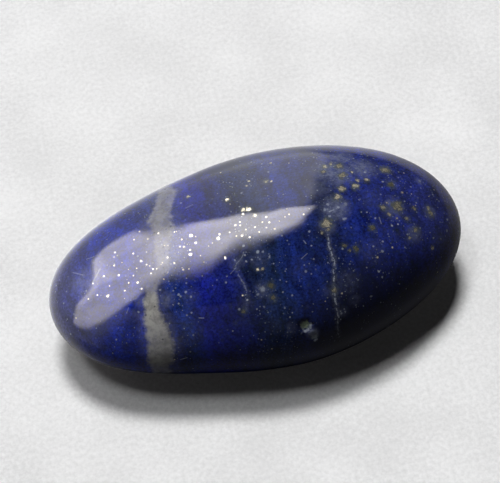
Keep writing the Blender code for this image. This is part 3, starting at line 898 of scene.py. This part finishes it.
def addRoughness(tree, shader, grain, vein, dull, metal, broken):
    rough = mixValues(tree, vein, ramp(tree, grain, *polish["roughness"]), polish["veinRoughness"])
    rough = mixValues(tree, times(tree, dull, polish["dentShare"], True), rough, polish["dentRoughness"])
    rough = mixValues(tree, metal, rough, polish["goldRoughness"])
    rough = mixValues(tree, broken, rough, polish["pitRoughness"])
    tree.links.new(rough, shader.inputs["Roughness"])
    tree.links.new(times(tree, metal, polish["metallic"]), shader.inputs["Metallic"])


def addRelief(tree, shader, place, grain, metal, broken, chance):  # each grain of metal faces its own way
    tilt = doVector(tree, "SUBTRACT", chance, (0.5, 0.5, 0.5))
    tilt = doVector(tree, "SCALE", tilt, times(tree, metal, polish["goldTilt"]))
    facing = doVector(tree, "ADD", addNode(tree, "NewGeometry").outputs["Normal"], tilt)
    facing = doVector(tree, "NORMALIZE", facing)
    speckle = times(tree, pattern(tree, place, polish["speckle"]), polish["speckleHeight"])
    height = plus(tree, times(tree, grain, polish["grainHeight"]), times(tree, metal, polish["goldHeight"]))
    height = plus(tree, height, times(tree, broken, speckle))
    sizes = {"Strength": polish["bumpStrength"], "Distance": polish["bumpDistance"] * mm}
    bump = addNode(tree, "Bump", {"Height": height, "Normal": facing, **sizes})
    tree.links.new(bump.outputs["Normal"], shader.inputs["Normal"])


def makeLapis():
    material, tree, shader = newMaterial("lapis")
    place = placeInMm(tree)
    grain = cloud(tree, place, *blue["grain"])
    curds = pattern(tree, place, grains["curds"])
    colour, crowding = paintBlue(tree, place, grain)

    mist, thick = useFlecks(tree, place, "mist")
    misty = times(tree, mist["Soft"], thick)
    colour = mixColours(tree, times(tree, misty, curds, True), colour, grains["mist"])
    colour, vein = paintBroadVein(tree, place, colour)
    colour = paintThreads(tree, place, colour)

    # The larger flecks of gold lie in a greenish speckled patch
    gold, goldShine = useFlecks(tree, place, "gold")
    halo = times(tree, gold["Halo"], ramp(tree, readValue(tree, "goldSize"), *grains["haloBySize"]))
    colour = mixColours(tree, times(tree, halo, curds, True), colour, grains["matrix"])

    # Dust and small gold are thicker in some bands, and dust in the clouds and round the gold too
    flocks = pattern(tree, doVector(tree, "MULTIPLY", place, grains["flockStretch"]), grains["flocks"])
    crowd = times(tree, crowding, flocks)
    dusty = plus(tree, times(tree, crowd, grains["dustCrowd"]), larger(tree, misty, halo))
    colour = paintDust(tree, place, colour, dusty)
    share = mixValues(tree, crowd, *grains["smallGoldShare"])
    small = useGroup(tree, "grainDots", {"Place": place, "Share": share, **grains["smallGold"]})
    shine = plus(tree, goldShine, pattern(tree, place, grains["patina"]), True)
    golden = mixColours(tree, shine, grains["goldDull"], grains["goldBright"])
    colour = mixColours(tree, small["Mask"], colour, grains["goldBright"])
    colour = mixColours(tree, gold["Mask"], colour, golden)

    broken = findBroken(tree, place)
    colour = mixColours(tree, times(tree, broken, curds, True), colour, polish["chipped"])
    pale, paleShine = useFlecks(tree, place, "pale")
    colour = mixColours(tree, times(tree, pale["Mask"], paleShine, True), colour, grains["pale"])
    tree.links.new(colour, shader.inputs["Base Color"])

    metal = larger(tree, small["Mask"], gold["Mask"])
    dull = times(tree, ramp(tree, readValue(tree, "tailDent"), *polish["dent"]), curds)
    addRoughness(tree, shader, grain, vein, dull, metal, broken)
    chance = mixColours(tree, gold["Mask"], small["Chance"], gold["Chance"])
    addRelief(tree, shader, place, grain, metal, broken, chance)
    return material


makePlacedFleck()
makeGrainDots()
makeFineVein()
pebble.data.materials.append(makeLapis())
print("lapis coloured")

# Light: one lamp models the stone, four the floor's shadow, and the rest shows in the polish alone
lights = {
    "distance": 0.7,  # m
    "lamps": {  # azimuth and elevation in degrees, width in m, radiance, colour
        "stoneLamp": (-40, 58, 0.3, 20.0, (1.0, 0.98, 0.97)),
        "floorLamp": (1, 79, 0.16, 61.5, (1.0, 1.0, 0.99)),
        "floorFront": (-102, 76, 0.13, 24.0, (1.0, 1.0, 1.0)),
        "floorSide": (-74, 75, 0.28, 2.2, (1.0, 0.99, 0.98)),
        "floorLow": (-78, 66, 0.35, 0.8, (1.0, 0.99, 0.98)),
    },
    "room": (0.03, 0.03, 0.034),
    "roomSeen": (0.62, 0.62, 0.64),  # what the camera sees beyond the floor
    "cardClouds": {"noise": (9.0, 4.0, 0.6), "ramp": (0.3, 0.7, 0.84, 1.12)},  # its scale per m
}
cards = {  # a corner is where the frame shows its mirror image, then its edge's softness and its radiance
    "window": {
        "middle": (128, 276, 7.8),
        "corners": (
            (93, 257, 0.14, 10.5), (91, 274, 0.14, 13.5), (89, 286, 0.14, 13.0), (84, 295, 0.14, 11.0),
            (77, 304, 0.16, 8.0), (73.5, 315, 0.16, 4.5), (74, 325, 0.16, 4.4), (80, 330, 0.18, 4.6),
            (89, 331, 0.2, 4.8), (101, 325.5, 0.2, 5.5), (120, 312, 0.22, 6.5), (135, 301, 0.25, 7.0),
            (150, 291, 0.3, 6.3), (172, 280, 0.55, 7.0), (198, 267, 0.6, 9.0), (216, 240, 0.4, 11.0),
            (213, 219.5, 0.22, 11.0), (183, 225, 0.2, 10.0), (160, 226, 0.2, 9.0), (135, 228, 0.2, 8.5),
            (113, 240, 0.16, 8.0), (101, 249, 0.14, 7.5),
        ),
        "colour": (0.99, 0.94, 0.96),
        "distance": 0.7,
    },
    "skylight": {
        "middle": (238, 226, 11.5),
        "corners": (
            (150, 266, 0.6, 9.0), (168, 287, 0.9, 8.5), (186, 287, 1.0, 9.0), (210, 271.5, 1.0, 9.0),
            (240, 257.5, 1.0, 9.5), (264, 246, 0.8, 10.5), (288, 234.5, 0.35, 11.0), (303, 222.5, 0.1, 11.0),
            (315, 206, 0.03, 11.0), (290, 207, 0.07, 11.5), (275, 210, 0.1, 11.0), (260, 212.5, 0.14, 11.0),
            (220, 217, 0.2, 9.5), (195, 222.5, 0.22, 10.0), (166, 228, 0.3, 9.5),
        ),
        "colour": (1.0, 0.96, 0.97),
        "distance": 0.66,
    },
}
wall = {  # all round, higher than the window, with its radiance by azimuth
    "sides": 96,
    "radius": 1.3,  # m
    "top": 2.1,
    "dimBelow": 0.9,
    "foot": 0.72,  # the share of its light left at the horizon
    "above": 1.08,
    "fadeFrom": 0.85,  # of its height
    "bright": 4.0,
    "colour": (0.97, 0.95, 1.0),
    "shades": (
        (-180, 0.03), (-130, 0.25), (-112, 1.0), (-90, 1.3), (-60, 1.5), (-30, 1.4), (-15, 1.15), (-5, 1.6),
        (2, 2.1), (15.5, 2.1), (18.5, 0.25), (21, 0.15), (90, 0.15), (120, 0.07), (180, 0.06),
    ),
}


def directionOf(azimuth, elevation):  # azimuth 0 is +Y, away from the camera, and 90 is +X
    azimuth, elevation = math.radians(azimuth), math.radians(elevation)
    level = math.cos(elevation)
    return Vector((math.sin(azimuth) * level, math.cos(azimuth) * level, math.sin(elevation)))


def mirrorAt(piece, skin, x, y, distance):  # the place that the polish mirrors at a point of the frame
    ray = rayThrough(x, y)
    place, _, face, _ = skin.ray_cast(cameraPlace, ray)
    facing = Vector((0.0, 0.0, 0.0))
    for index in piece.data.polygons[face].vertices:
        vert = piece.data.vertices[index]
        facing += vert.normal / ((vert.co - place).length + 0.01 * mm)
    return place + ray.reflect(facing.normalized()) * distance


def addLamp(name, piece):
    azimuth, elevation, size, radiance, colour = lights["lamps"][name]
    back = directionOf(azimuth, elevation)
    data = bpy.data.lights.new(name, "AREA")
    data.shape = "DISK"
    data.size = size
    data.energy = radiance * math.pi**2 * size**2 / 4
    data.color = colour
    holder = bpy.data.objects.new(name, data)
    holder.location = back * lights["distance"]
    holder.rotation_mode = "QUATERNION"
    holder.rotation_quaternion = back.to_track_quat("Z", "Y")
    holder.visible_glossy = False
    bpy.context.collection.objects.link(holder)
    lit = bpy.data.collections.new(name)
    lit.objects.link(piece)
    holder.light_linking.receiver_collection = lit


def showInPolish(piece, diffuse=False):
    piece.visible_camera = False
    piece.visible_diffuse = diffuse
    piece.visible_shadow = False


def glowOf(piece):
    material, tree, shader = newMaterial(piece.name)
    tree.nodes.remove(shader)
    piece.data.materials.append(material)
    return tree, tree.nodes["Material Output"].inputs["Surface"]


def emit(tree, colour, strength):
    return addNode(tree, "Emission", {"Color": (*colour, 1), "Strength": strength}).outputs[0]


def addCard(name, piece, skin):  # a fan of soft-edged light
    card = cards[name]
    deselectAll()
    bpy.ops.mesh.primitive_circle_add(vertices=len(card["corners"]), radius=1, fill_type="TRIFAN")
    panel = bpy.context.object
    panel.name = name
    spots = readPoints(panel.data)
    edge = np.linalg.norm(spots, axis=1) > 0.5
    order = np.flatnonzero(edge)
    order = order[np.argsort(np.arctan2(spots[order, 1], spots[order, 0]))]
    softness = np.zeros(len(spots))
    radiance = np.zeros(len(spots))
    for index, (x, y, soft, bright) in zip(order, card["corners"]):
        panel.data.vertices[index].co = mirrorAt(piece, skin, x, y, card["distance"])
        softness[index], radiance[index] = soft, bright
    x, y, bright = card["middle"]
    inner = np.flatnonzero(~edge)[0]
    panel.data.vertices[inner].co = mirrorAt(piece, skin, x, y, card["distance"])
    softness[inner], radiance[inner] = softness[order].mean(), bright
    saveValues(panel, "inward", "POINT", 1.0 - edge)
    saveValues(panel, "softness", "POINT", softness)
    saveValues(panel, "radiance", "POINT", radiance)

    tree, surface = glowOf(panel)
    share = doMath(tree, "DIVIDE", readValue(tree, "inward"), readValue(tree, "softness"))
    cloudy = pattern(tree, addNode(tree, "TexCoord").outputs["Object"], lights["cardClouds"])
    strength = times(tree, readValue(tree, "radiance"), cloudy)
    glow = emit(tree, card["colour"], strength)
    clear = addNode(tree, "BsdfTransparent").outputs[0]
    mixed = addNode(tree, "MixShader", {0: ramp(tree, share, 0.0, 1.0), 1: clear, 2: glow})
    tree.links.new(mixed.outputs[0], surface)
    showInPolish(panel)


def shadeRound(tree, place, shades, bright, share=1.0):  # radiance by azimuth
    parts = addNode(tree, "SeparateXYZ", {"Vector": place}).outputs
    turn = doMath(tree, "ARCTAN2", parts["X"], parts["Y"])
    turn = addNode(tree, "MapRange", {"Value": turn, "From Min": -math.pi, "From Max": math.pi}).outputs[0]
    rows = [((azimuth + 180) / 360, (shade / bright,) * 3 + (1,)) for azimuth, shade in shades]
    return times(tree, colourRamp(tree, turn, rows)["Color"], bright * share)


def addWall():
    deselectAll()
    height = wall["top"]
    bpy.ops.mesh.primitive_cylinder_add(
        vertices=wall["sides"], radius=wall["radius"], depth=height, end_fill_type="NOTHING",
        location=(0, 0, height / 2),
    )
    bpy.ops.object.transform_apply(location=True, rotation=False, scale=False)
    around = bpy.context.object
    around.name = "wall"
    tree, surface = glowOf(around)
    place = addNode(tree, "TexCoord").outputs["Object"]
    high = addNode(tree, "SeparateXYZ", {"Vector": place}).outputs["Z"]
    strength = shadeRound(tree, place, wall["shades"], wall["bright"])
    strength = times(tree, strength, ramp(tree, high, 0.0, wall["dimBelow"], wall["foot"], wall["above"]))
    strength = times(tree, strength, ramp(tree, high, height * wall["fadeFrom"], height, 1.0, 0.0))
    tree.links.new(emit(tree, wall["colour"], strength), surface)
    showInPolish(around)


def addRoom():  # dark, but pale where the camera looks past the floor
    world = bpy.data.worlds.new("room")
    bpy.context.scene.world = world
    world.use_nodes = True
    tree = world.node_tree
    shade = tree.nodes["Background"]
    seen = addNode(tree, "LightPath").outputs["Is Camera Ray"]
    tree.links.new(mixColours(tree, seen, lights["room"], lights["roomSeen"]), shade.inputs["Color"])
    bpy.context.scene.view_settings.view_transform = "Standard"


# Floor: pale and faintly mottled, and over it a sheet of what the polish mirrors below the horizon
ground = {
    "size": 3.0,  # m
    "colour": (0.8, 0.8, 0.81),
    "patches": (0.1, 4.0),  # noise
    "patchShare": 0.65,
    "mottle": (2.6, 4.0, 0.65),
    "shade": (0.42, 1.22, 0.83, 1.13),
    "roughness": 0.9,
    "sheetHeight": 0.05,  # mm
    "sheetBright": 3.0,
    "sheetShades": (  # radiance by azimuth: bright towards the window, dark in front and to the right
        (-180, 0.06), (-140, 0.06), (-125, 0.09), (-111, 0.2), (-101, 0.75), (-90, 1.1), (-60, 1.4),
        (-38, 1.25), (-25, 1.1), (-8, 0.66), (8, 0.7), (27, 0.8), (42, 0.54), (54, 0.34), (75, 0.3),
        (90, 0.17), (105, 0.08), (180, 0.06),
    ),
    "sheetColour": (1.0, 0.99, 1.0),
    "sheetOval": (1 / 1.8, 1.0, 0.0),  # the shade under the stone is longer in X
    "sheetFrom": 8.5,  # mm
    "sheetTo": 15.5,
    "sheetFar": (25.0, 110.0),  # mm, where it turns into the wall's light
    "sheetUnder": 0.012,  # radiance of its underside, the only light in the shadow's core
}


def addFloor():
    deselectAll()
    bpy.ops.mesh.primitive_plane_add(size=ground["size"])
    floor = bpy.context.object
    floor.name = "floor"
    material, tree, shader = newMaterial("floor")
    place = placeInMm(tree)
    patches = times(tree, cloud(tree, place, *ground["patches"]), ground["patchShare"])
    mottle = plus(tree, cloud(tree, place, *ground["mottle"]), patches)
    tone = grey(tree, ramp(tree, mottle, *ground["shade"]))
    tree.links.new(mixColours(tree, 1.0, ground["colour"], tone, "MULTIPLY"), shader.inputs["Base Color"])
    shader.inputs["Roughness"].default_value = ground["roughness"]
    floor.data.materials.append(material)
    return floor


def addSheet():
    deselectAll()
    bpy.ops.mesh.primitive_plane_add(size=ground["size"], location=(0, 0, ground["sheetHeight"] * mm))
    bpy.ops.object.transform_apply(location=True, rotation=False, scale=False)
    sheet = bpy.context.object
    sheet.name = "sheet"
    tree, surface = glowOf(sheet)
    place = placeInMm(tree)
    away = doVector(tree, "LENGTH", doVector(tree, "MULTIPLY", place, ground["sheetOval"]))
    near = shadeRound(tree, place, ground["sheetShades"], ground["sheetBright"])
    far = shadeRound(tree, place, wall["shades"], wall["bright"], wall["foot"])
    strength = mixValues(tree, ramp(tree, away, *ground["sheetFar"]), near, far)
    strength = times(tree, strength, ramp(tree, away, ground["sheetFrom"], ground["sheetTo"]))
    under = addNode(tree, "NewGeometry").outputs["Backfacing"]
    strength = mixValues(tree, under, strength, ground["sheetUnder"])
    tree.links.new(emit(tree, ground["sheetColour"], strength), surface)
    showInPolish(sheet, diffuse=True)


floor = addFloor()
addSheet()
for name in lights["lamps"]:
    addLamp(name, pebble if name == "stoneLamp" else floor)
for name in cards:
    addCard(name, pebble, skinOf(pebble))
addWall()
addRoom()
print("floor and lights set")

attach(pebble, "root")
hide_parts(nodeName)
